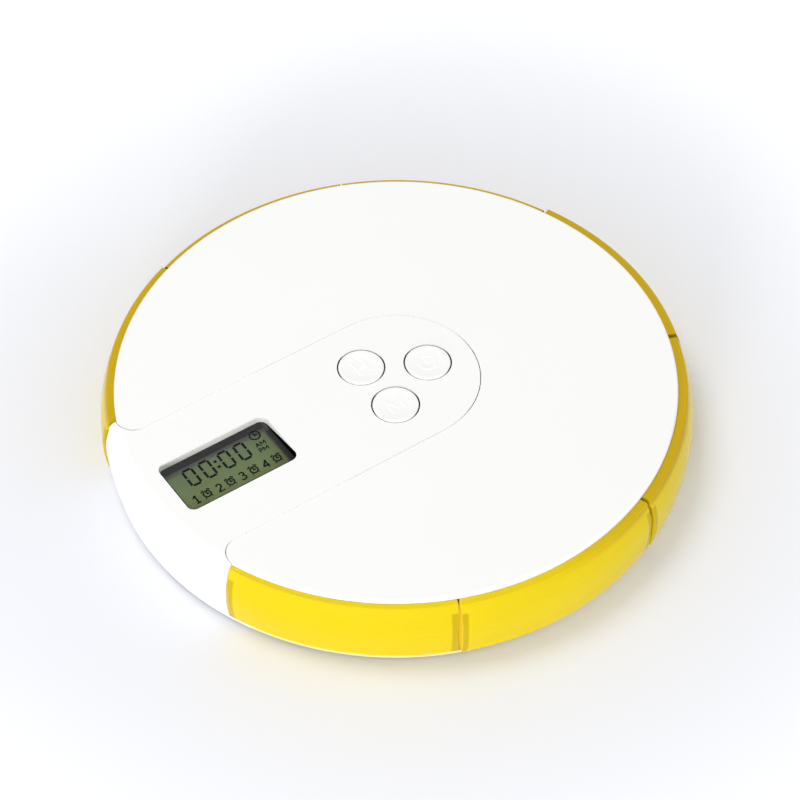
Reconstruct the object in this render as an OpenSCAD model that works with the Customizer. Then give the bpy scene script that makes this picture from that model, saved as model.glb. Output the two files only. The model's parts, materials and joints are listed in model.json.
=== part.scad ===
// Round weekly pill box with a reminder clock.
// Seven wedge trays slide out from under a C-shaped cover. A keyhole-shaped panel with a display
// and three buttons fills the cover's slot. The origin is on the floor at the centre of the disc,
// +X runs from the display towards the buttons and +Z is up.

/* [Whole box] */
// Largest radius of the rim
rim_r_max = 55.5; // [52:0.5:66]
// Height from the floor to the flat top
box_h = 15.5; // [14.5:0.5:18]
// How far the rim narrows from its middle up to the flat top
rim_shoulder = 2.0; // [1:0.1:2.6]
// How far the rim narrows from its middle down to the trays' underside
rim_bulge = 0.7; // [0.1:0.05:0.8]

/* [Cover and panel] */
// Thickness of the cover and of the panel
cover_t = 2.0; // [1.8:0.1:2.4]
// Distance from the cover's edge to the largest radius of the rim
cover_inset = 2.5; // [2.3:0.1:3]
// How far the cover's edge reaches over the trays' rim walls, and its thickness there
cover_lip = 1.2; // [1:0.1:1.5]
lip_t = 0.7; // [0.6:0.05:0.9]
// Half the width of the slot in the cover, and the radius of its round end
slot_r = 16; // [16:0.25:18]
// Radius of the cover's corners at the mouth of the slot
mouth_r = 3.3; // [2:0.1:4]
// Gap all round between the cover and the panel
panel_gap = 0.15; // [0.15:0.05:0.4]
// Small round along the top edges of the cover
edge_r = 0.5; // [0.2:0.1:0.8]
// Round along the top edge of the panel's side wall
panel_edge_r = 2.4; // [1:0.1:3]
// Thickness of the panel's side wall at its widest
panel_wall = 1.8; // [1.4:0.1:1.8]

/* [Display] */
// Length of the window along X
window_l = 23.2; // [18:0.1:24]
// Width of the window along Y
window_w = 12.6; // [10:0.1:14]
// X of the window's centre
window_x = -37.3; // [-38:0.05:-36]
// Radius of the window's corners
window_r = 1.5; // [0.5:0.1:3]
// Thickness of the clear film
lens_t = 0.4; // [0.3:0.05:0.6]
// Thickness of the display glass
lcd_t = 1.6; // [1.2:0.1:1.8]
// How far the film and the glass reach past the window
lcd_margin = 1.9; // [1:0.1:2.2]

/* [Buttons] */
// Radius of the button holes
button_hole_r = 4.6; // [3.8:0.05:4.8]
// Distance from the centre of the disc to each button's axis
button_ring_r = 7.0; // [6.8:0.05:7.4]
// Gap all round a button in its hole
button_gap = 0.25; // [0.1:0.05:0.3]
// How far a button goes down
button_travel = 0.6; // [0.3:0.05:0.7]
// How far a button stands above the panel
button_proud = 0.15; // [0:0.05:0.4]
// How far a button's flange reaches past its hole
button_flange = 0.85; // [0.5:0.05:0.9]

/* [Trays] */
// Gap between neighbouring trays at the rim
tray_gap = 0.3; // [0.2:0.05:0.6]
// Wall thickness of a tray
tray_wall = 1.2; // [1:0.1:1.6]
// Thickness of a tray's floor
tray_floor = 1.4; // [1.2:0.1:1.8]
// How far the trays' side walls stay below the flat top
side_drop = 3.4; // [3.2:0.1:4.5]
// Gap between the top of a tray's rim wall and the cover's edge over it
ledge_gap = 0.05; // [0.05:0.05:0.3]
// Round along the top edge of a tray's rim wall
tray_edge_r = 0.4; // [0.2:0.05:0.8]
// Round along the bottom edge of the rim wall
foot_edge_r = 0.5; // [0.3:0.05:1]
// Gap between a tray and whatever it passes over, under or along
tray_clear = 0.2; // [0.15:0.05:0.4]
// Radius of the upright corners at the ends of a tray's rim wall
corner_r = 0.5; // [0.4:0.1:1.4]
// How far a whole tray slides out
tray_travel = 26; // [16:0.5:26.5]
// How far the two trays beside the panel slide out, which are shorter
end_travel = 18.5; // [10:0.5:18.5]

/* [Tray guides] */
// Width of the guide peg under each tray
guide_w = 3; // [2:0.25:5]
// Length of the guide peg
guide_l = 4.5; // [3:0.25:5]
// Gap between the guide peg and its groove
guide_gap = 0.2; // [0.1:0.05:0.4]
// How far the guide peg reaches into the tray's floor
guide_h = 0.5; // [0.3:0.05:0.6]

/* [Core and base] */
// Thickness of the core's keyhole wall
core_wall = 2.0; // [1.6:0.1:2.4]
// How far the core's wall reaches past the slot's edge, to carry the cover
core_ledge = 1.0; // [0.8:0.1:1.2]
// Gap between the core's wall and the trays
core_clear = 0.3; // [0.2:0.05:0.6]
// Distance from the base plate's edge to the largest radius of the rim
base_inset = 0.8; // [0.6:0.1:1.5]
// Thickness of the base plate
base_t = 1.2; // [1.2:0.1:1.6]
// How far the feet hold the base plate off the floor
foot_h = 0.6; // [0.5:0.1:1]
// Radius of a rubber foot
foot_r = 4; // [3:0.5:5]
// Distance from the centre to a foot
foot_ring_r = 44; // [40:1:46]
// How deep a foot sits in the base plate
foot_seat = 0.4; // [0.2:0.1:0.6]

/* [Board and battery] */
// Thickness of the circuit board
board_t = 1.2; // [0.8:0.1:1.6]
// How far the board reaches from the disc's centre towards the rim
board_l = 50.5; // [50.5:0.1:51]
// Gap between the board and the core's wall
board_gap = 0.5; // [0.3:0.1:0.8]
// Height of the rubber strips between the board and the display glass
strip_h = 1.8; // [1.4:0.1:2]
// Radius of the coin cell
cell_r = 10; // [8:0.5:10]
// Thickness of the coin cell
cell_t = 3.2; // [2:0.4:3.2]
// X of the coin cell and the battery door
cell_x = -17; // [-19:0.5:-15]
// How far the battery door reaches past the cell, all round
door_margin = 1.6; // [1:0.1:2]
// Gap all round the battery door
door_gap = 0.2; // [0.1:0.05:0.3]
// How far the battery door turns to open, in degrees
door_turn = 40; // [30:1:50]

/* [Screws] */
// Radius of a case screw's shank
case_screw_r = 1.0; // [0.8:0.05:1.1]
// Radius of a case screw's head
case_head_r = 1.9; // [1.6:0.05:2]
// Radius of a board screw's shank
board_screw_r = 0.7; // [0.6:0.05:0.8]
// Radius of a board screw's head
board_head_r = 1.4; // [1.2:0.05:1.6]
// Gap between a screw and its hole
screw_gap = 0.05; // [0.02:0.01:0.1]

/* [Hidden] */
$fn = 96;
// A cut reaches this far past the face that it cuts
over = 1;
// The disc has eight equal sectors: one for the panel, centred on -X, and one for each tray.
// The trays are counted anticlockwise from the panel.
tray_count = 7;
tray_pitch = 360 / (tray_count + 1);
tray_names = [for (k = [1:tray_count]) str("pill_tray_", k)];

white = [0.97, 0.97, 0.96];
yellow = [0.98, 0.84, 0.16, 0.85];

// Heights, from the floor up
base_z = foot_h;
base_top = base_z + base_t;
tray_z = base_top + tray_clear;
side_top = box_h - side_drop;
ledge_top = box_h - lip_t - ledge_gap;
cover_z = box_h - cover_t;
ledge_z = side_top + 0.5;
lens_top = cover_z + lens_t;
lcd_z = cover_z - lcd_t;
board_top = lcd_z - strip_h;
board_z = board_top - board_t;
half = tray_pitch / 2;

// Radii
cover_r = rim_r_max - cover_inset;
cover_low_r = cover_r - cover_lip;
ledge_r = cover_low_r + tray_clear;
core_r = slot_r + core_ledge;
core_in_r = core_r - core_wall;
hub_r = core_r + core_clear;
base_r = rim_r_max - base_inset;
base_bevel = 0.6;
door_r = cell_r + door_margin;

// How far each tray stands out of its shut place at rest
tray_out = [0.2, 0.6, 0.8, 0.9, 0.1, 0.1, 0.5];
// Inner end of a guide peg: a tray is shut when its groove's outer end meets the peg's other end
guide_out_gap = 2.5;
guide_in = cover_r - guide_out_gap - guide_l;

// The barrel-shaped rim: its radius at a height, and its outline with round edges
rim_mid = tray_z + (box_h - tray_z) * 0.45;
function rim_r(z) = z > rim_mid
    ? rim_r_max - rim_shoulder * pow((z - rim_mid) / (box_h - rim_mid), 2)
    : rim_r_max - rim_bulge * pow((z - rim_mid) / (rim_mid - tray_z), 2);
cavity_r = rim_r(ledge_z) - tray_wall;
panel_in_r = rim_r_max - panel_wall;
function arc(cx, cz, r, a0, a1, steps) =
    [for (i = [0:steps]) let (a = a0 + (a1 - a0) * i / steps) [cx + r * cos(a), cz + r * sin(a)]];
function rim_outline(z0, z1, low_r, top_r) =
    let (za = z0 + low_r, zb = z1 - top_r, steps = 8)
    concat(
        [[0, z0]],
        arc(rim_r(za) - low_r, za, low_r, -90, 0, 4),
        [for (i = [1:steps - 1]) let (z = za + (zb - za) * i / steps) [rim_r(z), z]],
        arc(rim_r(zb) - top_r, zb, top_r, 0, 90, 6),
        [[0, z1]]
    );

module rim_solid(z0, z1, low_r, top_r) {
    rotate_extrude()
        polygon(rim_outline(z0, z1, low_r, top_r));
}

// A wedge of the disc between two angles, drawn well past the rim, moved in from both seams
module wedge(a0, a1, inset, z0, z1) {
    reach = 2 * rim_r_max;
    mid = (a0 + a1) / 2;
    shift = inset / sin((a1 - a0) / 2);
    translate([shift * cos(mid), shift * sin(mid), z0])
        linear_extrude(z1 - z0)
            polygon([[0, 0], reach * [cos(a0), sin(a0)], reach * [cos(a1), sin(a1)]]);
}

// The keyhole: a half-width r strip from the rim at -X to a round end about the disc's centre
module keyhole(r, z0, z1, length = 2 * rim_r_max) {
    translate([0, 0, z0])
        cylinder(r = r, h = z1 - z0);
    translate([-length, -r, z0])
        cube([length, 2 * r, z1 - z0]);
}

// The cover's body grown by g: a disc less the keyhole, with round corners at the slot's mouth
module cover_body(g, z0, z1, top_r = 0) {
    r = cover_r + g;
    corner_y = slot_r + mouth_r;
    corner_x = -sqrt(pow(cover_r - mouth_r, 2) - pow(corner_y, 2));
    mouth_y = slot_r - 2;
    lip_z = box_h - lip_t - (g > 0 ? ledge_gap : 0);
    low_r = cover_low_r + g;
    edge = top_r > 0 ? arc(r - top_r, z1 - top_r, top_r, 0, 90, 4) : [[r, z1]];
    difference() {
        rotate_extrude()
            polygon(concat([[0, z0], [low_r, z0], [low_r, lip_z], [r, lip_z]], edge, [[0, z1]]));
        keyhole(slot_r - g, z0 - over, z1 + over);
        for (side = [-1, 1])
            difference() {
                translate([0, 0, z0 - over])
                    linear_extrude(z1 - z0 + 2 * over)
                        polygon([
                            [corner_x, side * corner_y],
                            [corner_x, side * mouth_y],
                            [corner_x - 12, side * mouth_y],
                            [corner_x, side * corner_y] * 1.15
                        ]);
                translate([corner_x, side * corner_y, z0 - 2 * over])
                    cylinder(r = mouth_r + g, h = z1 - z0 + 4 * over);
            }
    }
}

// Round pin or hole between two heights
module post(x, y, r, z0, z1) {
    translate([x, y, z0])
        cylinder(r = r, h = z1 - z0);
}

// A block with round upright corners
module round_block(x, y, l, w, r, z0, z1) {
    translate([x - l / 2 + r, y - w / 2, z0])
        cube([l - 2 * r, w, z1 - z0]);
    translate([x - l / 2, y - w / 2 + r, z0])
        cube([l, w - 2 * r, z1 - z0]);
    for (i = [-1, 1], j = [-1, 1])
        post(x + i * (l / 2 - r), y + j * (w / 2 - r), r, z0, z1);
}

function tray_angle(k) = -180 + tray_pitch * k;

// Outline of a tray as an upright block, with its walls moved in by inset
module tray_block(k, inset, z0, z1) {
    difference() {
        rotate([0, 0, tray_angle(k)])
            wedge(-half, half, tray_gap / 2 + inset, z0, z1);
        // the keyhole's wall: its round end, and its straight sides behind the centre
        keyhole(hub_r + inset, z0 - over, z1 + over);
    }
}

// What a round upright corner leaves out, at one end of a tray's rim wall
module corner_cut(side, z0, z1) {
    corner_a = half - asin((corner_r + tray_gap / 2) / (rim_r_max - corner_r));
    mirror([0, side < 0 ? 1 : 0, 0])
        rotate([0, 0, corner_a])
            translate([rim_r_max - corner_r, 0, z0])
                difference() {
                    cube([2 * corner_r, 2 * corner_r, z1 - z0]);
                    translate([0, 0, -over])
                        cylinder(r = corner_r, h = z1 - z0 + 2 * over);
                }
}

module pill_tray(k) {
    a = tray_angle(k);
    color(yellow)
        translate(tray_out[k - 1] * [cos(a), sin(a), 0])
            shut_tray(k, a, k == 1 || k == tray_count ? end_travel : tray_travel);
}

module shut_tray(k, a, travel) {
    cavity_z = tray_z + tray_floor;
    groove_in = guide_in - travel - guide_gap;
    groove_l = guide_in + guide_l + guide_gap - groove_in;
    difference() {
        intersection() {
            rim_solid(tray_z, ledge_top, foot_edge_r, tray_edge_r);
            tray_block(k, 0, tray_z, ledge_top);
        }
        rotate([0, 0, a])
            for (side = [-1, 1])
                corner_cut(side, tray_z - over, ledge_top + over);
        // the hollow, which reaches a little under the ledge
        intersection() {
            tray_block(k, tray_wall, cavity_z, ledge_z);
            translate([0, 0, cavity_z])
                cylinder(r = cavity_r, h = ledge_z - cavity_z);
        }
        // room for the cover over the side walls and inside the ledge
        translate([0, 0, side_top])
            cylinder(r = ledge_r, h = box_h);
        // the groove for the guide peg
        rotate([0, 0, a])
            translate([groove_in, -guide_w / 2 - guide_gap, tray_z - over])
                cube([groove_l, guide_w + 2 * guide_gap, over + guide_h + guide_gap]);
    }
}

// Places of the posts that take a case screw from below and a board screw from above
post_spots = [[-49, 11.5], [-49, -11.5], [4, 11.2], [4, -11.2]];
post_r = 2.5;
head_room = 0.1;
foot_room = 0.02;
post_z = base_top + 0.8;
case_screw_top = post_z + 3;
board_screw_z = board_z - 2.4;

module base_plate() {
    color(white)
        difference() {
            union() {
                translate([0, 0, base_z])
                    cylinder(r1 = base_r - base_bevel, r2 = base_r, h = base_bevel);
                translate([0, 0, base_z + base_bevel])
                    cylinder(r = base_r, h = base_t - base_bevel);
                for (s = post_spots)
                    post(s[0], s[1], post_r, base_z + base_bevel, post_z);
                // guide pegs, one under each tray
                for (k = [1:tray_count])
                    rotate([0, 0, tray_angle(k)])
                        translate([guide_in, -guide_w / 2, base_z + base_bevel])
                            cube([guide_l, guide_w, tray_z + guide_h - base_z - base_bevel]);
            }
            for (s = post_spots) {
                post(s[0], s[1], case_screw_r + head_room, base_z - over, post_z + over);
                post(s[0], s[1], case_head_r + head_room, base_z - over, base_top);
            }
            for (a = [0:90:270])
                rotate([0, 0, a + 45])
                    post(foot_ring_r, 0, foot_r + foot_room, base_z - over, base_z + foot_seat);
            battery_hole();
            sound_holes();
        }
}

// Opening for the battery door, with a notch for each of its two tabs at the open position
tab_r = door_r + 1.2;
tab_half = 12;
module battery_hole() {
    post(cell_x, 0, door_r + door_gap, base_z - over, base_top + over);
    translate([cell_x, 0, base_z - over])
        intersection() {
            cylinder(r = tab_r + door_gap, h = base_t + 2 * over);
            union()
                for (a = [0, 180])
                    rotate([0, 0, a + door_turn])
                        tab_wedge(tab_half + 2, base_t + 2 * over);
        }
}

module tab_wedge(a, h) {
    linear_extrude(h)
        polygon([[0, 0], 2 * door_r * [cos(a), -sin(a)], 2 * door_r * [cos(a), sin(a)]]);
}

buzzer_x = -40;
module sound_holes() {
    for (a = [0:60:300])
        post(buzzer_x + 2.4 * cos(a), 2.4 * sin(a), 0.5, base_z - over, base_top + over);
    post(buzzer_x, 0, 0.5, base_z - over, base_top + over);
}

module core_frame() {
    wall_end = sqrt(pow(panel_in_r - 0.3, 2) - pow(core_r, 2));
    color(white)
        difference() {
            union() {
                difference() {
                    keyhole(core_r, base_top, cover_z, wall_end);
                    keyhole(core_in_r, base_top - over, cover_z + over, wall_end + over);
                }
                for (s = post_spots) {
                    post(s[0], s[1], post_r, post_z, board_z);
                    // a rib ties each post to the wall
                    rib_l = core_in_r + 0.5 - abs(s[1]);
                    translate([s[0] - 0.6, s[1] > 0 ? s[1] : s[1] - rib_l, post_z])
                        cube([1.2, rib_l, board_z - post_z]);
                }
                cell_holder();
            }
            for (s = post_spots) {
                post(s[0], s[1], case_screw_r + screw_gap, post_z - over, case_screw_top + 0.3);
                post(s[0], s[1], board_screw_r + screw_gap, board_screw_z - 0.3, board_z + over);
            }
        }
}

// Ring that holds the coin cell, tied to the core's walls, with a slot for the side contact
holder_z = base_top + 1.6;
cell_z = holder_z - 0.2;
module cell_holder() {
    ring_r = cell_r + 0.3;
    ring_top = cell_z + cell_t + 0.4;
    // where the ribs leave the ring, and how far they go to sink into the wall
    rib_x = (ring_r + 0.6) * cos(60);
    rib_y = ring_r * sin(60);
    rib_l = core_in_r + 0.5 - rib_y;
    difference() {
        union() {
            post(cell_x, 0, ring_r + 1.2, holder_z, ring_top);
            for (side = [-1, 1], y = [rib_y, -rib_y - rib_l])
                translate([cell_x + side * rib_x - 0.6, y, holder_z])
                    cube([1.2, rib_l, ring_top - holder_z]);
        }
        post(cell_x, 0, ring_r, holder_z - over, ring_top + over);
        translate([cell_x - ring_r - 3, -2.5, holder_z - over])
            cube([5, 5, ring_top - holder_z + 2 * over]);
    }
}

module top_cover() {
    rib_z = side_top + 0.4;
    rib_gap = 0.04;
    color(white)
        union() {
            cover_body(0, cover_z, box_h, edge_r);
            // rib that hugs the core's wall
            difference() {
                keyhole(core_r + 1, rib_z, cover_z + 0.5, cover_r - 12);
                keyhole(core_r + rib_gap, rib_z - over, cover_z + over);
            }
        }
}

button_spots = [for (a = [126, 235, 357]) button_ring_r * [cos(a), sin(a)]];

module control_panel() {
    seam = 180 - half;
    color(white)
        difference() {
            union() {
                intersection() {
                    rim_solid(base_top, box_h, foot_edge_r, panel_edge_r);
                    union() {
                        wedge(seam, 360 - seam, tray_gap / 2, cover_z, box_h);
                        keyhole(slot_r - panel_gap, cover_z, box_h);
                        // side wall down to the base plate
                        difference() {
                            wedge(seam, 360 - seam, tray_gap / 2, base_top, box_h);
                            post(0, 0, panel_in_r, base_top - over, box_h + over);
                        }
                    }
                }
                // rib that fits inside the core's wall
                difference() {
                    keyhole(core_in_r - 0.1, cover_z - 1, cover_z + 0.3, 20);
                    keyhole(core_in_r - 1, cover_z - 2, cover_z + 1, 30);
                }
            }
            cover_body(panel_gap, cover_z - over, box_h + over);
            round_block(window_x, 0, window_l, window_w, window_r, lens_top, box_h + over);
            lens_block(0.1, cover_z - over, lens_top);
            for (b = button_spots)
                post(b[0], b[1], button_hole_r, cover_z - 2, box_h + over);
        }
}

module lens_block(g, z0, z1) {
    round_block(window_x, 0, window_l + 2 * (lcd_margin + g), window_w + 2 * (lcd_margin + g), 1, z0, z1);
}

module lcd_lens() {
    color([0.9, 0.95, 0.95, 0.3])
        lens_block(0, cover_z, lens_top);
}

module lcd_cell() {
    color([0.44, 0.5, 0.36])
        lens_block(0, lcd_z, cover_z);
}

module zebra_strips() {
    color([0.35, 0.35, 0.4])
        for (side = [-1, 1])
            translate([window_x - window_l / 2, side * (window_w / 2 + 0.6) - 0.8, board_top])
                cube([window_l, 1.6, strip_h]);
}

module circuit_board() {
    color("darkgreen")
        difference() {
            keyhole(core_in_r - board_gap, board_z, board_top, board_l);
            for (s = post_spots)
                post(s[0], s[1], board_screw_r + 0.2, board_z - over, board_top + over);
        }
}

module chip_cover() {
    r = 4;
    h = 1.6;
    color([0.1, 0.1, 0.1])
        translate([cell_x, -4, board_top])
            rotate_extrude()
                polygon(concat([[0, 0]], [for (a = [0:15:75]) [r * cos(a), h * sin(a)]], [[0, h * sin(75)]]));
}

module crystal() {
    color("silver")
        translate([cell_x - 3, 6, board_top + 1])
            rotate([0, 90, 0])
                cylinder(r = 1, h = 6);
}

module small_parts() {
    color([0.5, 0.45, 0.35])
        for (i = [0:3])
            translate([cell_x - 4 + i * 2.6, 10, board_top])
                cube([1.2, 2, 0.6]);
}

dome_h = 0.5;
dome_r = 3;
module switch_domes() {
    color("silver")
        for (b = button_spots)
            translate([b[0], b[1], board_top])
                rotate_extrude()
                    polygon([
                        [0, 0], [dome_r, 0], [dome_r * 0.7, dome_h * 0.7],
                        [dome_r * 0.35, dome_h], [0, dome_h]
                    ]);
}

module buzzer() {
    buzzer_r = 6;
    color([0.12, 0.12, 0.12])
        difference() {
            post(buzzer_x, 0, buzzer_r, board_z - 4.2, board_z);
            post(buzzer_x, 0, 1, board_z - 4.2 - over, board_z - 3);
        }
}

module coin_cell() {
    color("silver") {
        post(cell_x, 0, cell_r, cell_z, cell_z + cell_t - 0.5);
        post(cell_x, 0, cell_r - 1.2, cell_z, cell_z + cell_t);
    }
}

// Leaf spring from the board down to the top of the cell
module contact_top() {
    gap = board_z - cell_z - cell_t;
    leaf_t = 0.3;
    color("goldenrod")
        translate([cell_x, 2, 0])
            rotate([90, 0, 0])
                linear_extrude(4)
                    polygon([
                        [8, board_z], [0, board_z], [-5.2, board_z - gap + leaf_t],
                        [-7, board_z - gap + leaf_t], [-7, board_z - gap],
                        [-4.8, board_z - gap], [1, board_z - leaf_t], [8, board_z - leaf_t]
                    ]);
}

// Upright tab from the board down beside the cell
module contact_side() {
    tab_x = cell_x - cell_r - 0.4;
    color("goldenrod") {
        translate([tab_x, -2, cell_z + 0.2])
            cube([0.4, 4, board_z - cell_z - 0.2]);
        translate([tab_x - 2, -2, board_z - 0.4])
            cube([2.4, 4, 0.4]);
    }
}

module battery_door() {
    tab_z = base_top + 0.1;
    color(white)
        difference() {
            union() {
                post(cell_x, 0, door_r, base_z, base_top);
                post(cell_x, 0, door_r - 0.6, base_top, holder_z - 0.3);
                // two tabs that lie on the base plate round the opening
                translate([cell_x, 0, tab_z])
                    intersection() {
                        cylinder(r = tab_r, h = 0.9);
                        union()
                            for (a = [0, 180])
                                rotate([0, 0, a])
                                    tab_wedge(tab_half, 0.9);
                    }
            }
            // a coin turns the door by this slot
            round_block(cell_x, 0, 16, 2, 0.95, base_z - over, base_z + 0.8);
        }
}

// A round button with a flange under the panel, a stem over its dome and a slightly dished top
module push_button(spot) {
    top = box_h + button_proud;
    r = button_hole_r - button_gap;
    edge = 0.3;
    dish_r = r - 2 * edge;
    dish_d = 0.15;
    steps = 5;
    stem_z = board_top + dome_h + button_travel + 0.1;
    flange_z = cover_z - 0.9;
    flange_top = cover_z - 0.05;
    color(white)
        translate([spot[0], spot[1], 0])
            rotate_extrude()
                polygon(concat(
                    [[0, stem_z], [1.5, stem_z], [1.5, flange_z], [r + button_flange, flange_z]],
                    [[r + button_flange, flange_top], [r, flange_top]],
                    arc(r - edge, top - edge, edge, 0, 90, 3),
                    [for (i = [0:steps - 1])
                        let (f = 1 - i / steps) [dish_r * f, top - dish_d * (1 - f * f)]],
                    [[0, top - dish_d * (1 - 1 / (steps * steps))]]
                ));
}

module case_screws() {
    head_z = base_z + 0.2;
    color("gray")
        for (s = post_spots)
            difference() {
                union() {
                    post(s[0], s[1], case_head_r, head_z, base_top);
                    post(s[0], s[1], case_screw_r, head_z, case_screw_top);
                }
                cross_slot(s, head_z, 0.6);
            }
}

module board_screws() {
    head_h = 0.9;
    color("gray")
        for (s = post_spots)
            difference() {
                union() {
                    post(s[0], s[1], board_head_r, board_top, board_top + head_h);
                    post(s[0], s[1], board_screw_r, board_screw_z, board_top + head_h);
                }
                cross_slot(s, board_top + head_h, 0.4);
            }
}

// Cross recess centred on a height, cut half above and half below it
module cross_slot(s, z, depth) {
    for (a = [0, 90])
        translate([s[0], s[1], z])
            rotate([0, 0, a])
                cube([2, 0.4, 2 * depth], center = true);
}

module rubber_feet() {
    color([0.25, 0.25, 0.26])
        for (a = [0:90:270])
            rotate([0, 0, a + 45])
                translate([foot_ring_r, 0, 0]) {
                    cylinder(r1 = foot_r - 0.3, r2 = foot_r, h = 0.3);
                    translate([0, 0, 0.3])
                        cylinder(r = foot_r, h = base_z + foot_seat - 0.3);
                }
}

base_plate();
core_frame();
top_cover();
control_panel();
lcd_lens();
lcd_cell();
zebra_strips();
circuit_board();
chip_cover();
crystal();
small_parts();
switch_domes();
buzzer();
coin_cell();
contact_top();
contact_side();
battery_door();
push_button(button_spots[0]);  // button_hour
push_button(button_spots[1]);  // button_minute
push_button(button_spots[2]);  // button_clock
case_screws();
board_screws();
rubber_feet();
for (k = [1:tray_count])
    pill_tray(k);
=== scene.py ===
"""Looks of a round weekly pill box with a reminder clock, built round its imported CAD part."""

import json
import math

import bpy
from mathutils import Matrix, Vector


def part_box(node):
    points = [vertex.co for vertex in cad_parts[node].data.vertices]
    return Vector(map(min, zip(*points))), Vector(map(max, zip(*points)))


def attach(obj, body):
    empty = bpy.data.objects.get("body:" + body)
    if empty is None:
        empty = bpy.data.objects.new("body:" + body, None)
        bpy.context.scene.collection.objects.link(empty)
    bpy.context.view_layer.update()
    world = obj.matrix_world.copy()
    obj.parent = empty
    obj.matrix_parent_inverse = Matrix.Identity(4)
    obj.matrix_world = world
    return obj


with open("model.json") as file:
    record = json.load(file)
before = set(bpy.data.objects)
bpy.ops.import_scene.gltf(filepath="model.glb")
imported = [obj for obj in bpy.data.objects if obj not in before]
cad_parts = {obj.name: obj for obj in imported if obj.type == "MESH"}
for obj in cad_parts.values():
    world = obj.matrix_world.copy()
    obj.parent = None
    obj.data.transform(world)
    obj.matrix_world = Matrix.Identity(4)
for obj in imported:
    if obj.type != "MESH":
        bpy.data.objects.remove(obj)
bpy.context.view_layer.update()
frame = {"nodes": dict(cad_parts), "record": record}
nodes = frame["nodes"]
scene = bpy.context.scene
MM = 0.001


def mm_box(node):
    """The lowest and highest corner of a node, in millimetres"""
    lo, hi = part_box(node)
    return lo / MM, hi / MM


# Measures taken from the frame, in millimetres. The origin is under the middle of the box.

glass_lo, glass_hi = mm_box("lcd_cell")
BOX_H = mm_box("top_cover")[1].z
TRAY_LOW = mm_box("pill_tray_2")[0].z
GLASS_TOP = glass_hi.z
GLASS_X = (glass_lo.x + glass_hi.x) / 2
FILM_MARGIN = 1.9  # how far the glass reaches beyond the window on each side
WINDOW_L = glass_hi.x - glass_lo.x - 2 * FILM_MARGIN
WINDOW_W = glass_hi.y - glass_lo.y - 2 * FILM_MARGIN


# Node building. A value is a number, a colour, a vector or another node's output.

class Tree:
    """Adds nodes to the tree of a material or of the world"""

    def __init__(self, owner):
        owner.use_nodes = True
        self.owner = owner
        self.nodes = owner.node_tree.nodes
        self.links = owner.node_tree.links

    def new(self, kind):
        return self.nodes.new("ShaderNode" + kind)

    def put(self, value, socket):
        """Links another node's output to a socket, or sets a plain value on it"""
        if isinstance(value, bpy.types.NodeSocket):
            self.links.new(value, socket)
        elif socket.type == "RGBA":
            socket.default_value = (*value, 1)
        else:
            socket.default_value = value

    def place(self, space="Object"):
        return self.new("TexCoord").outputs[space]

    def normal(self):
        return self.new("NewGeometry").outputs["True Normal"]

    def split(self, vector):
        """The x, y and z of a vector"""
        made = self.new("SeparateXYZ")
        self.put(vector, made.inputs["Vector"])
        return [made.outputs[axis] for axis in "XYZ"]

    def level_vector(self, x, y):
        """The vector (x, y, 0)"""
        made = self.new("CombineXYZ")
        self.put(x, made.inputs["X"])
        self.put(y, made.inputs["Y"])
        return made.outputs["Vector"]

    def operate(self, kind, operation, output, values):
        made = self.new(kind)
        made.operation = operation
        for value, socket in zip(values, made.inputs):
            self.put(value, socket)
        return made.outputs[output]

    def maths(self, operation, *values):
        return self.operate("Math", operation, "Value", values)

    def vector_maths(self, operation, output, *vectors):
        return self.operate("VectorMath", operation, output, vectors)

    def size(self, value):
        return self.maths("ABSOLUTE", value)

    def product(self, first, *others):
        for other in others:
            first = self.maths("MULTIPLY", first, other)
        return first

    def largest(self, first, *others):
        for other in others:
            first = self.maths("MAXIMUM", first, other)
        return first

    def ramp(self, value, start, end, low=0, high=1, smooth=False):
        """Goes from low to high while the value goes from start to end, and stays level beyond"""
        made = self.new("MapRange")
        if smooth:
            made.interpolation_type = "SMOOTHSTEP"
        self.put(value, made.inputs["Value"])
        self.put(start, made.inputs["From Min"])
        self.put(end, made.inputs["From Max"])
        self.put(low, made.inputs["To Min"])
        self.put(high, made.inputs["To Max"])
        return made.outputs["Result"]

    def ramp_mm(self, length, start, end, low=0, high=1, smooth=False):
        """A ramp over a length, with its start and end in millimetres"""
        return self.ramp(length, start * MM, end * MM, low, high, smooth)

    def mix(self, factor, under, over, kind="RGBA"):
        made = self.new("Mix")
        made.data_type = kind
        self.put(factor, made.inputs["Factor"])
        self.put(under, made.inputs["A"])
        self.put(over, made.inputs["B"])
        return made.outputs["Result"]

    def noise(self, scale, detail=2):
        made = self.new("TexNoise")
        self.put(self.place(), made.inputs["Vector"])
        self.put(scale, made.inputs["Scale"])
        self.put(detail, made.inputs["Detail"])
        return made.outputs["Fac"]

    def background_rays(self):
        """1 for rays that show the background: seen directly, in gloss or through clear things"""
        rays = self.new("LightPath").outputs
        return self.largest(rays["Is Camera Ray"], rays["Is Glossy Ray"],
                            rays["Is Transmission Ray"])


NOISE_SPAN = (0.3, 0.7)  # where nearly all values of a noise lie
BUMP_HEIGHT = 0.02 * MM


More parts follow.
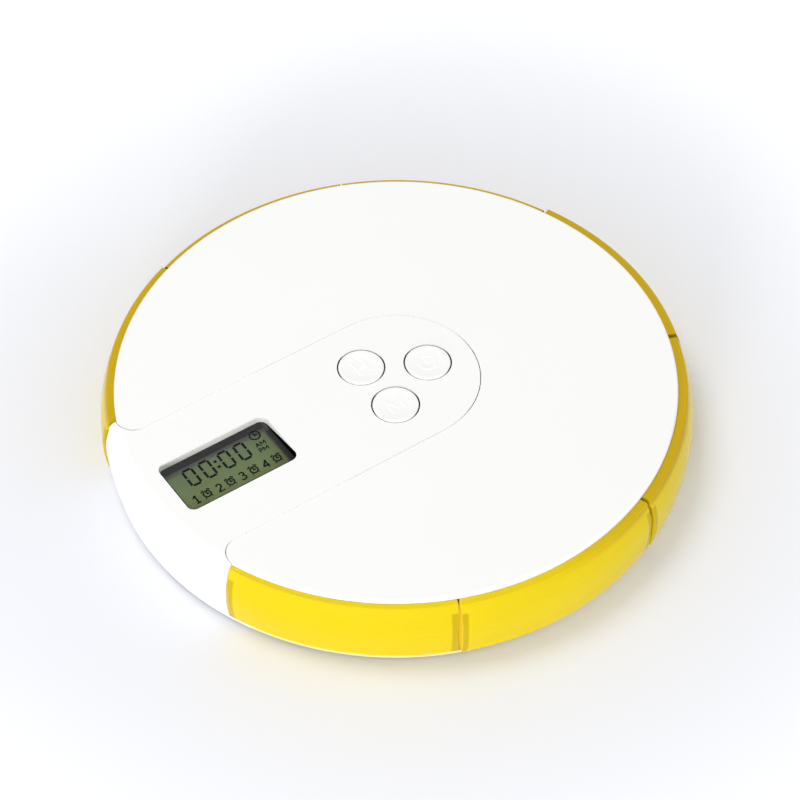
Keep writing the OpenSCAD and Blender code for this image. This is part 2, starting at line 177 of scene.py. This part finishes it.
class Surface(Tree):
    """A material with a Principled shader. Its name is kept, because Blender adds a number to the
    material's own name where the frame has a material of that name."""

    def __init__(self, name):
        super().__init__(bpy.data.materials.new(name))
        self.name = name
        self.shader = self.nodes["Principled BSDF"]

    def set(self, name, value):
        self.put(value, self.shader.inputs[name])

    def tint(self, factor, colour):
        """Lays a colour over the base colour"""
        under = self.shader.inputs["Base Color"].links[0].from_socket
        self.set("Base Color", self.mix(factor, under, colour))

    def roughen(self, grain, low, high):
        self.set("Roughness", self.ramp(grain, *NOISE_SPAN, low, high))

    def bump(self, height, strength):
        made = self.new("Bump")
        self.put(strength, made.inputs["Strength"])
        self.put(BUMP_HEIGHT, made.inputs["Distance"])
        self.put(height, made.inputs["Height"])
        self.set("Normal", made.outputs["Normal"])


# Materials. Noise scales are in cells per metre.

CLOUD_SCALE = 60
PLASTIC_SPREAD = 0.04  # of the roughness, up and down
PLASTIC_IOR = 1.49
STREAK_SCALE = 2500
STREAK_DETAIL = 4
STREAK_DULL = 0.85  # how bright the duller streaks are beside the others
STREAK_SPREAD = (-0.08, 0.1)  # of the roughness, down and up
STREAK_BUMP = 0.05


def plastic(name, pale, dark, roughness, grain=9000, bump=0.06, transmission=0.0, specular=0.5):
    """Moulded plastic: a faint cloudiness in the colour, a fine grain in the surface"""
    made = Surface(name)
    made.set("Base Color", made.mix(made.noise(CLOUD_SCALE), dark, pale))
    fine = made.noise(grain)
    made.roughen(fine, roughness - PLASTIC_SPREAD, roughness + PLASTIC_SPREAD)
    made.bump(fine, bump)
    made.set("IOR", PLASTIC_IOR)
    made.set("Transmission Weight", transmission)
    made.set("Specular IOR Level", specular)
    return made


def metal(name, colour, roughness):
    """Metal with fine streaks"""
    made = Surface(name)
    streaks = made.noise(STREAK_SCALE, STREAK_DETAIL)
    dull = tuple(STREAK_DULL * c for c in colour)
    made.set("Base Color", made.mix(streaks, dull, colour))
    made.roughen(streaks, *(roughness + change for change in STREAK_SPREAD))
    made.bump(streaks, STREAK_BUMP)
    made.set("Metallic", 1.0)
    return made


SEAMS = 8
TRAY_PITCH = 2 * math.pi / SEAMS

# Where an effect is full and where it has gone, by how far a face's normal points up or down, or
# out from or in to the middle: 0 is not at all, 1 is fully

UPRIGHT = (0.3, 0.6)
NOT_LEVEL = (0.7, 0.8)
NOT_OUTWARD = (0.3, 0.8)

# Pairs of places on the trays between which an effect grows or fades, in millimetres

STRIPE_SHADE_SIDE = (1.3, 1.6)  # from the seam
STRIPE_SHADE_TOP = (BOX_H - 2.65, BOX_H - 2.35)
RIM_R = (50, 50.2)
LEDGE_SHADE_Z = (BOX_H - 2.4, BOX_H - 1.2)
EDGE_HIGHLIGHT_Z = (TRAY_LOW + 0.3, TRAY_LOW + 0.5)
SHADED_X = (-12, 30)
SHADED_Y = (-20, 10)

YELLOW = (0.83, 0.64, 0.004)
YELLOW_DULL = (0.81, 0.615, 0.0035)
# painted shade on the ledge, away from the front
LEDGE_SHADE_YELLOW = (0.61, 0.4, 0.001)
# painted highlight along the trays' lower edge, as a paler colour and a glow
EDGE_HIGHLIGHT_YELLOW = (0.95, 0.88, 0.5)
EDGE_HIGHLIGHT_BLEND = 0.7
EDGE_GLOW = 0.4
# painted shade: the darker stripes beside each seam
STRIPE_SHADE_YELLOW = (0.57, 0.4, 0.002)
STRIPE_SHADE_BLEND = 0.85
# painted glow of the faces in the gaps between trays and of the lower edge
GLOW_YELLOW = (0.85, 0.7, 0.05)
GAP_GLOW = 0.38


def tray_material():
    """Clear yellow plastic. Beside each seam the rim walls have darker stripes of painted shade,
    where the trays' side walls show through them, and the faces in the gap between two trays have
    a painted glow, standing for light through the plastic. Away from the front the ledge is darker
    with painted shade, and the lower edge has a painted highlight."""
    made = plastic("yellow_plastic", YELLOW, YELLOW_DULL, 0.16, grain=4000, bump=0.03,
                   transmission=0.12, specular=0.11)
    x, y, z = made.split(made.place())
    flat = made.level_vector(x, y)
    radius = made.vector_maths("LENGTH", "Value", flat)
    at_rim = made.ramp_mm(radius, *RIM_R)
    shaded = made.largest(made.ramp_mm(x, *SHADED_X, smooth=True),
                          made.ramp_mm(y, *SHADED_Y, smooth=True))

    # the middles of the trays lie at whole pitches, the seams halfway between them
    turn = made.maths("DIVIDE", made.maths("ARCTAN2", y, x), TRAY_PITCH)
    within = made.maths("FRACT", made.maths("ADD", turn, SEAMS))
    off_seam = made.size(made.maths("SUBTRACT", within, 0.5))
    from_seam = made.product(off_seam, TRAY_PITCH, radius)
    # painted shade on the rim walls beside each seam, where the trays' side walls show through
    stripe_shade = made.product(made.ramp_mm(from_seam, *STRIPE_SHADE_SIDE, 1, 0),
                          made.ramp_mm(z, *STRIPE_SHADE_TOP, 1, 0), at_rim)
    ledge = made.ramp_mm(z, *LEDGE_SHADE_Z, smooth=True)
    edge = made.ramp_mm(z, *EDGE_HIGHLIGHT_Z, EDGE_HIGHLIGHT_BLEND, 0, smooth=True)
    # painted shade on the ledge, full to the right and at the back
    made.tint(made.product(ledge, shaded), LEDGE_SHADE_YELLOW)
    # painted highlight along the lower edge
    made.tint(made.product(edge, shaded), EDGE_HIGHLIGHT_YELLOW)
    made.tint(made.product(stripe_shade, STRIPE_SHADE_BLEND), STRIPE_SHADE_YELLOW)

    # upright faces at the rim whose normal runs along the rim are the two sides of a gap; they get
    # a
    #     # painted glow, standing for light through the plastic
    normal = made.normal()
    outward = made.vector_maths("NORMALIZE", "Vector", flat)
    facing_out = made.size(made.vector_maths("DOT_PRODUCT", "Value", outward, normal))
    facing_up = made.size(made.split(normal)[2])
    gap_side = made.product(made.ramp(facing_out, *NOT_OUTWARD, 1, 0),
                            made.ramp(facing_up, *UPRIGHT, 1, 0), at_rim)
    gap_glow = made.product(gap_side, made.maths("SUBTRACT", 1, shaded), GAP_GLOW)
    edge_glow = made.product(edge, at_rim, EDGE_GLOW)
    made.set("Emission Strength", made.largest(gap_glow, edge_glow))
    made.set("Emission Color", GLOW_YELLOW)
    return made


# Pairs of places on the white pieces between which an effect grows or fades, in millimetres

GAP_MOUTH = (BOX_H - 0.35, BOX_H - 0.12)
GAP_FOOT = (GLASS_TOP + 0.2, GLASS_TOP + 0.3)
GAP_INSIDE_R = (49, 50)
GAP_SHADE_X = (-22, -21)
BELOW_SIGNS = (BOX_H - 0.06, BOX_H - 0.04)
PLATE_EDGE_Z = (1.9, 2.0)
PLATE_EDGE_R = (53.5, 54)
PLATE_EDGE_X = (-49, -48)

WHITE = (0.9, 0.9, 0.892)
WHITE_DULL = (0.885, 0.885, 0.876)
# painted shade in the gaps, further down and on two opposite sides
GAP_SHADE_BLACK = (0.005, 0.005, 0.005)
# painted yellow light from the trays on the base plate's edge
PLATE_TRAY_LIGHT_YELLOW = (0.84, 0.72, 0.36)
MOUTH_GLOW = 0.24
SHADE_SIDE = (0.825, -0.565, 0)  # a direction: the walls across it are darker
SHADE_SIDE_SPAN = (0.72, 0.9)  # how far a wall's normal points that way, or the opposite way


def white_material():
    """White plastic. The walls of the narrow gaps round the buttons and the panel have a faint
    painted glow at their mouths, standing for light that passes through the plastic there, and
    painted shade further down and on two opposite sides. The base plate's edge has painted
    yellow light from the trays."""
    made = plastic("white_plastic", WHITE, WHITE_DULL, 0.38)
    x, y, z = made.split(made.place())
    radius = made.vector_maths("LENGTH", "Value", made.level_vector(x, y))
    normal = made.normal()
    facing_up = made.size(made.split(normal)[2])
    facing_side = made.size(made.vector_maths("DOT_PRODUCT", "Value", normal, SHADE_SIDE))

    inside = made.ramp_mm(radius, *GAP_INSIDE_R, 1, 0)
    wall = made.product(inside, made.ramp(facing_up, *UPRIGHT, 1, 0))
    # painted glow at the mouths of the gaps, standing for light through the plastic
    mouth = made.ramp_mm(z, *GAP_MOUTH, 0, MOUTH_GLOW)
    light_side = made.ramp(facing_side, *SHADE_SIDE_SPAN, 1, 0)
    made.set("Emission Strength", made.product(wall, mouth, light_side))
    made.set("Emission Color", (1, 1, 1))

    # painted shade in the gaps: black further down, and on the two sides that face along the shaded
    # direction
    zone = [made.ramp_mm(z, *GAP_FOOT), made.ramp_mm(x, *GAP_SHADE_X)]
    deep_shade = made.product(wall, made.ramp_mm(z, *GAP_MOUTH, 1, 0), *zone)
    side_shade = made.product(inside, made.ramp(facing_side, *SHADE_SIDE_SPAN),
                             made.ramp_mm(z, *BELOW_SIGNS, 1, 0),
                             made.ramp(facing_up, *NOT_LEVEL, 1, 0), *zone)
    made.tint(made.largest(deep_shade, side_shade), GAP_SHADE_BLACK)
    # painted yellow light from the trays on the base plate's edge
    plate_tray_light = made.product(made.ramp_mm(z, *PLATE_EDGE_Z, 1, 0),
                              made.ramp_mm(radius, *PLATE_EDGE_R),
                              made.ramp_mm(x, *PLATE_EDGE_X))
    made.tint(plate_tray_light, PLATE_TRAY_LIGHT_YELLOW)
    return made


# Where the display has painted shade, in millimetres, and its colours

BAND_SHADE_TOP = (WINDOW_W / 2 - 1.7, WINDOW_W / 2 - 0.4)
BAND_SHADE_RIGHT = (GLASS_X + WINDOW_L / 2 - 0.9, GLASS_X + WINDOW_L / 2 - 0.1)
BAND_SHADE_GREY = (0.1, 0.1, 0.095)
BAND_GLOW = 0.042
GREEN_LOW = (0.3, 0.38, 0.14)
GREEN_HIGH = (0.285, 0.385, 0.2)


def display_material():
    """Grey-green display glass, with painted shade towards its top and its right-hand edge. The
    panel's edge keeps light off the band at the top, so that band also has a faint painted glow."""
    made = Surface("display_glass")
    x, y = made.split(made.place())[:2]
    top_shade = made.ramp_mm(y, *BAND_SHADE_TOP, smooth=True)
    right_shade = made.ramp_mm(x, *BAND_SHADE_RIGHT, smooth=True)
    green = made.mix(made.ramp_mm(y, -WINDOW_W / 2, WINDOW_W / 2), GREEN_LOW, GREEN_HIGH)
    # painted shade towards the top and the right-hand edge
    made.set("Base Color", made.mix(made.largest(top_shade, right_shade), green, BAND_SHADE_GREY))
    # painted glow in the shaded band at the top
    made.set("Emission Strength", made.ramp(top_shade, 0, 1, 0, BAND_GLOW))
    made.set("Emission Color", (1, 1, 0.95))
    made.roughen(made.noise(6000), 0.42, 0.5)
    made.set("Specular IOR Level", 0.1)
    return made


def film_material():
    """Thin clear film over the display glass"""
    made = Surface("clear_film")
    made.roughen(made.noise(800), 0.08, 0.12)
    made.set("Base Color", (0.95, 0.97, 0.97))
    made.set("Alpha", 0.01)
    return made


def ink_material():
    """Matt black of the display's figures and of the recess's lining"""
    made = Surface("display_ink")
    made.set("Base Color", made.mix(made.noise(5000), (0.003, 0.003, 0.003), (0.005, 0.005, 0.004)))
    made.set("Roughness", 0.6)
    made.set("Specular IOR Level", 0.0)
    return made


surfaces = [
    white_material(),
    tray_material(),
    film_material(),
    display_material(),
    plastic("black_rubber", (0.035, 0.035, 0.037), (0.028, 0.028, 0.03), 0.75, 5000, 0.3),
    plastic("strip_rubber", (0.1, 0.1, 0.13), (0.08, 0.08, 0.1), 0.6, 3000, 0.2),
    plastic("board_laminate", (0.01, 0.075, 0.02), (0.008, 0.06, 0.015), 0.35, 2500, 0.15),
    plastic("black_resin", (0.012, 0.012, 0.012), (0.009, 0.009, 0.009), 0.4, 2500, 0.2),
    metal("bright_steel", (0.75, 0.75, 0.77), 0.25),
    metal("screw_steel", (0.5, 0.5, 0.52), 0.35),
    metal("contact_brass", (0.8, 0.58, 0.26), 0.3),
    plastic("ceramic", (0.3, 0.22, 0.14), (0.22, 0.16, 0.1), 0.6, 2500, 0.1),
]
materials = {surface.name: surface.owner for surface in surfaces}
ink = ink_material().owner

for part in frame["record"]["subparts"]:
    shown = nodes[part["node"]]
    shown.data.materials.clear()
    shown.data.materials.append(materials[part["material_slot"]])


# Camera: it stands off the middle of the cover and is moved sideways and up across its line of
# sight, so its frame is the photograph's. Lengths are in millimetres.

CAM_AZIMUTH = math.radians(-34.37)
CAM_ELEVATION = math.radians(48.52)
CAM_DISTANCE = 510.3
CAM_RIGHT = 0.74
CAM_UP = -4.4
FOCAL_PX = 2714
IMAGE_PX = 800
SENSOR = 36.0
CLIP_M = (0.01, 20)


def add_camera():
    a, e = CAM_AZIMUTH, CAM_ELEVATION
    back = Vector((math.sin(a) * math.cos(e), -math.cos(a) * math.cos(e), math.sin(e)))
    right = Vector((math.cos(a), math.sin(a), 0))
    up = back.cross(right)
    place = back * CAM_DISTANCE + right * CAM_RIGHT + up * CAM_UP + Vector((0, 0, BOX_H))
    data = bpy.data.cameras.new("camera")
    data.sensor_width = SENSOR
    data.lens = FOCAL_PX / IMAGE_PX * SENSOR
    data.clip_start, data.clip_end = CLIP_M
    made = bpy.data.objects.new("camera", data)
    scene.collection.objects.link(made)
    turn = Matrix((right, up, back)).transposed().to_4x4()
    made.matrix_world = Matrix.Translation(place * MM) @ turn
    scene.camera = made


# World, floor and lights, in metres. The background is white where it is seen, and lights less.

AMBIENT = (0.25, 0.715)  # at the horizon, and high up
AMBIENT_RISE = (0.0, 0.6)  # the upward part of the direction over which it grows
FLOOR_SIZE = 3.0
FLOOR_COLOUR = (0.79, 0.8, 0.84)
# the floor's glow is weaker near the box, a painted shadow round it
FLOOR_GLOW = (0.03, 0.21)  # near the box, and further away
FLOOR_GLOW_R = (0.06, 0.135)


def add_world():
    world = bpy.data.worlds.new("world")
    scene.world = world
    made = Tree(world)
    background = made.nodes["Background"]
    upward = made.split(made.place("Generated"))[2]
    ambient = made.ramp(upward, *AMBIENT_RISE, *AMBIENT, smooth=True)
    strength = made.mix(made.background_rays(), ambient, 1.0, kind="FLOAT")
    made.put((1, 1, 1), background.inputs["Color"])
    made.put(strength, background.inputs["Strength"])


def add_floor():
    half = FLOOR_SIZE / 2
    corners = [(-half, -half, 0), (half, -half, 0), (half, half, 0), (-half, half, 0)]
    mesh = bpy.data.meshes.new("floor")
    mesh.from_pydata(corners, [], [(0, 1, 2, 3)])
    made = bpy.data.objects.new("floor", mesh)
    scene.collection.objects.link(made)
    paper = Surface("floor_paper")
    paper.set("Base Color", FLOOR_COLOUR)
    paper.set("Roughness", 0.9)
    paper.set("Specular IOR Level", 0.0)
    away = paper.vector_maths("LENGTH", "Value", paper.place())
    # weaker near the box: a painted shadow round it
    glow = paper.ramp(away, *FLOOR_GLOW_R, *FLOOR_GLOW, smooth=True)
    paper.set("Emission Strength", paper.product(glow, paper.background_rays()))
    paper.set("Emission Color", (1, 1, 1))
    mesh.materials.append(paper.owner)


def add_area(name, place, size, power, target=(0, 0, 0)):
    """A round area lamp that shines from its place towards the target"""
    data = bpy.data.lights.new(name, "AREA")
    data.shape = "DISK"
    data.size = size
    data.energy = power
    made = bpy.data.objects.new(name, data)
    scene.collection.objects.link(made)
    made.location = place
    line = Vector(target) - Vector(place)
    made.rotation_euler = line.to_track_quat("-Z", "Y").to_euler()


add_camera()
add_world()
add_floor()
add_area("key", place=(-0.25, 0.35, 1.15), size=0.6, power=5.0)
add_area("front", place=(-0.95, -0.8, 0.2), size=0.4, power=9.0)
add_area("low", place=(-0.671, -0.995, 0.065), size=0.1, power=0.9, target=(-0.03, -0.045, 0.014))
add_area("side", place=(1.0, -0.55, 0.12), size=0.5, power=3.0)

scene.view_settings.view_transform = "Standard"


# Flat shapes for the display and the buttons, in millimetres. An outline is a list of points,
# anticlockwise. A ring is a pair of outlines (outer, inner) with the same number of points.

def add_piece(name, verts, faces, material):
    """A mesh object from points in millimetres"""
    mesh = bpy.data.meshes.new(name)
    mesh.from_pydata([(x * MM, y * MM, z * MM) for x, y, z in verts], [], faces)
    mesh.materials.append(material)
    made = bpy.data.objects.new(name, mesh)
    scene.collection.objects.link(made)
    return made


def prism(name, shapes, z0, z1, material, step=0):
    """A piece of upright prisms over outlines and rings. Each prism is lower than the last by
    step, so that no two tops lie in one plane."""
    verts, faces = [], []
    for shape in shapes:
        z1 -= step
        base = len(verts)
        if isinstance(shape, tuple):
            outer, inner = shape
            n = len(outer)
            verts += [(x, y, z) for z in (z0, z1) for line in (outer, inner) for x, y in line]
            for i in range(n):
                j = (i + 1) % n
                o0, o1, n0, n1 = base + i, base + j, base + n + i, base + n + j
                faces.append((o0, n0, n1, o1))
                faces.append((o0 + 2 * n, o1 + 2 * n, n1 + 2 * n, n0 + 2 * n))
                faces.append((o0, o1, o1 + 2 * n, o0 + 2 * n))
                faces.append((n0, n0 + 2 * n, n1 + 2 * n, n1))
        else:
            n = len(shape)
            verts += [(x, y, z) for z in (z0, z1) for x, y in shape]
            faces.append(tuple(base + i for i in reversed(range(n))))
            faces.append(tuple(base + n + i for i in range(n)))
            for i in range(n):
                j = (i + 1) % n
                faces.append((base + i, base + j, base + n + j, base + n + i))
    return add_piece(name, verts, faces, material)


def moved(points, x, y):
    return [(px + x, py + y) for px, py in points]


def stroke(a, b, width):
    """A straight bar from a to b"""
    a, b = Vector(a), Vector(b)
    along = (b - a).normalized() * width / 2
    side = Vector((-along.y, along.x))
    return [tuple(a - side), tuple(b - side), tuple(b + side), tuple(a + side)]


def circle(x, y, r, steps=40):
    turns = [2 * math.pi * i / steps for i in range(steps)]
    return [(x + r * math.cos(a), y + r * math.sin(a)) for a in turns]


def path(points, width):
    """Bars that follow a line of points, with a round dot at each bend"""
    made = [stroke(a, b, width) for a, b in zip(points, points[1:])]
    made += [circle(x, y, width / 2, steps=10) for x, y in points[1:-1]]
    return made


def clock_icon(x, y, r, width):
    """A clock face at three o'clock"""
    minute_hand = 0.62 * r
    hour_hand = 0.8 * minute_hand
    face = (circle(x, y, r), circle(x, y, r - width))
    return [face, stroke((x, y + minute_hand), (x, y - width / 2), width),
            stroke((x, y), (x + hour_hand, y), width)]


# Figures on the display. The digits have their lower edge at DIGIT_Y and their middles at
# DIGIT_X. The words and numerals are placed by their lower left corners, the clocks by their
# middles. The four alarms run from left to right, each a numeral and an alarm clock.

INK_Z = (GLASS_TOP + 0.01, GLASS_TOP + 0.03)
DIGIT_W = 2.35
DIGIT_H = 4.4
DIGIT_STROKE = 0.48
DIGIT_GAP = 0.16  # half the gap between two segments
DIGIT_Y = -0.06
DIGIT_X = (-43.8, -40.38, -36.28, -32.86)
COLON_W = 0.6
COLON_H = 0.55
COLON_RISE = 0.72  # of each dot from the digits' middle
CLOCK_AT = (-28.92, 4.14)
CLOCK_R = 1.15
CLOCK_STROKE = 0.3
WORDS = (("AM", -30.1, 1.35), ("PM", -30.1, -0.05))
LETTER_H = 0.95
LETTER_STROKE = 0.2
NUMERAL_AT = (-46.4, -3.75)
NUMERAL_PITCH = 4.97
NUMERAL_W = 1.2
NUMERAL_H = 1.8
NUMERAL_STROKE = 0.32
ALARM_AT = (-43.5, -2.8)
ALARM_PITCH = 5.03
ALARM_R = 0.88
ALARM_STROKE = 0.31
BELL = ((0.35, 1.12), (0.95, 0.72))  # its two ends, from the middle of the alarm clock
BELL_STROKE = 0.3
FOOT = ((0.5, -0.6), (0.78, -0.98))
FOOT_STROKE = 0.22


def zero_digit(cx, y0):
    """The six lit segments of a seven-segment zero"""
    w, h, t, gap = DIGIT_W / 2 - DIGIT_STROKE / 2, DIGIT_H, DIGIT_STROKE, DIGIT_GAP
    low, mid, high = y0 + t / 2, y0 + h / 2, y0 + h - t / 2
    ends = [((cx - w + gap, y), (cx + w - gap, y)) for y in (low, high)]
    for bottom, top in ((low, mid), (mid, high)):
        ends += [((x, bottom + gap), (x, top - gap)) for x in (cx - w, cx + w)]
    return [stroke(a, b, t) for a, b in ends]


def numeral(n, x, y):
    """Plain numerals 1 to 4, with their lower left corner at x, y"""
    w, h = NUMERAL_W, NUMERAL_H
    lines = {
        1: [[(0.1, 1.3), (0.6, h), (0.6, 0)], [(0.15, 0), (1.05, 0)]],
        2: [[(0.05, 1.35), (0.3, 1.7), (0.75, 1.72), (1.0, 1.4), (0.95, 1.05), (0.05, 0.02),
             (w, 0.02)]],
        3: [[(0.05, 1.5), (0.35, 1.74), (0.8, 1.68), (0.98, 1.35), (0.75, 0.98), (0.4, 0.92)],
            [(0.75, 0.98), (1.05, 0.65), (1.0, 0.25), (0.65, 0), (0.25, 0.02), (0, 0.25)]],
        4: [[(0.85, 0), (0.85, h), (0, 0.55), (w, 0.55)]],
    }
    return [bar for line in lines[n] for bar in path(moved(line, x, y), NUMERAL_STROKE)]


def alarm_icon(x, y):
    """A clock with two bells and two feet"""
    made = clock_icon(x, y, ALARM_R, ALARM_STROKE)
    for side in (-1, 1):
        for ends, width in ((BELL, BELL_STROKE), (FOOT, FOOT_STROKE)):
            a, b = moved([(side * px, py) for px, py in ends], x, y)
            made.append(stroke(a, b, width))
    return made


def letters(word, x, y):
    """A, M and P, drawn with straight strokes in parts of the letters' height"""
    h = LETTER_H
    made = []
    for letter in word:
        w = {"A": 0.8, "P": 0.6, "M": 0.95}[letter] * h
        lines = {
            "A": [[(0, 0), (w / 2, h), (w, 0)], [(w * 0.2, h * 0.35), (w * 0.8, h * 0.35)]],
            "P": [[(0, 0), (0, h), (w * 0.8, h), (w, h * 0.78), (w * 0.8, h * 0.48),
                   (0, h * 0.48)]],
            "M": [[(0, 0), (0, h), (w / 2, h * 0.35), (w, h), (w, 0)]],
        }[letter]
        for line in lines:
            made += path(moved(line, x, y), LETTER_STROKE)
        x += w + 0.3 * h
    return made


def add_display():
    shapes = []
    for x in DIGIT_X:
        shapes += zero_digit(x, DIGIT_Y)
    colon_x = (DIGIT_X[1] + DIGIT_X[2]) / 2
    for rise in (-COLON_RISE, COLON_RISE):
        y = DIGIT_Y + DIGIT_H / 2 + rise
        shapes.append(stroke((colon_x - COLON_W / 2, y), (colon_x + COLON_W / 2, y), COLON_H))
    shapes += clock_icon(*CLOCK_AT, CLOCK_R, CLOCK_STROKE)
    for word, x, y in WORDS:
        shapes += letters(word, x, y)
    for n in range(4):
        shapes += numeral(n + 1, NUMERAL_AT[0] + NUMERAL_PITCH * n, NUMERAL_AT[1])
        shapes += alarm_icon(ALARM_AT[0] + ALARM_PITCH * n, ALARM_AT[1])
    made = prism("display_figures", shapes, *INK_Z, ink)
    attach(made, "case")


add_display()


# Black lining of the display's recess

LINING_CORNER = 1.5
LINING_GAP = 0.02
LINING_T = 0.16
LINING_DROP = 0.04  # of its top, below the cover's
LINING_END_H = 0.02  # at the end where its top slopes down


def add_lining():
    """A thin black wall inside the recess, round three of its sides. Its end at +X and +Y has
    hardly any height, so that its top slopes down along that side."""
    r = LINING_CORNER
    x0, x1 = GLASS_X - WINDOW_L / 2 + r, GLASS_X + WINDOW_L / 2 - r
    y0, y1 = -WINDOW_W / 2 + r, WINDOW_W / 2 - r
    foot = mm_box("lcd_lens")[1].z + LINING_GAP
    top = BOX_H - LINING_DROP

    def line(inset):
        points = [(x1 + r - inset, y1), (x1 + r - inset, y0)]
        for x, y, start in ((x1, y0, 0), (x0, y0, -90)):
            turns = [math.radians(start - a) for a in range(0, 91, 10)]
            reach = r - inset
            points += [(x + reach * math.cos(a), y + reach * math.sin(a)) for a in turns]
        return points + [(x0 - r + inset, y1)]

    outer, inner = line(LINING_GAP), line(LINING_GAP + LINING_T)
    heights = [foot + LINING_END_H] + [top] * (len(outer) - 1)
    verts, faces = [], []
    for (ox, oy), (nx, ny), z in zip(outer, inner, heights):
        verts += [(ox, oy, foot), (nx, ny, foot), (nx, ny, z), (ox, oy, z)]
    for i in range(len(outer) - 1):
        a, b = 4 * i, 4 * i + 4
        faces += [(a + j, b + j, b + (j + 1) % 4, a + (j + 1) % 4) for j in range(4)]
    last = 4 * len(outer) - 4
    faces += [(0, 1, 2, 3), (last + 3, last + 2, last + 1, last)]
    made = add_piece("display_lining", verts, faces, ink)
    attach(made, "case")


add_lining()


# Raised signs on the buttons: an H, an M and a clock

BUTTON_DISH = 0.15  # how far the top of a button is hollowed
SIGN_LOW = 0.05
SIGN_HIGH = 0.09
SIGN_STEP = 0.006
SIGN_STROKE = 0.42
H_X = 1.1
H_Y = 1.7
M_X = 1.4
M_Y = 1.6
M_DIP = -0.8
SIGN_CLOCK_R = 1.9


def add_sign(node, shapes, body):
    """Raised shapes on a button, drawn about its middle"""
    lo, hi = mm_box(node)
    x, y = ((lo + hi) / 2).xy
    placed = [tuple(moved(line, x, y) for line in shape) if isinstance(shape, tuple)
              else moved(shape, x, y) for shape in shapes]
    dish = hi.z - BUTTON_DISH
    made = prism(node + "_sign", placed, dish - SIGN_LOW, dish + SIGN_HIGH,
                 materials["white_plastic"], SIGN_STEP)
    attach(made, body)


letter_h = [[(-H_X, -H_Y), (-H_X, H_Y)], [(H_X, -H_Y), (H_X, H_Y)], [(-H_X, 0), (H_X, 0)]]
letter_m = [(-M_X, -M_Y), (-M_X, M_Y), (0, M_DIP), (M_X, M_Y), (M_X, -M_Y)]
add_sign("button_hour", [bar for line in letter_h for bar in path(line, SIGN_STROKE)], "hour_key")
add_sign("button_minute", path(letter_m, SIGN_STROKE), "minute_key")
add_sign("button_clock", clock_icon(0, 0, SIGN_CLOCK_R, SIGN_STROKE), "clock_key")
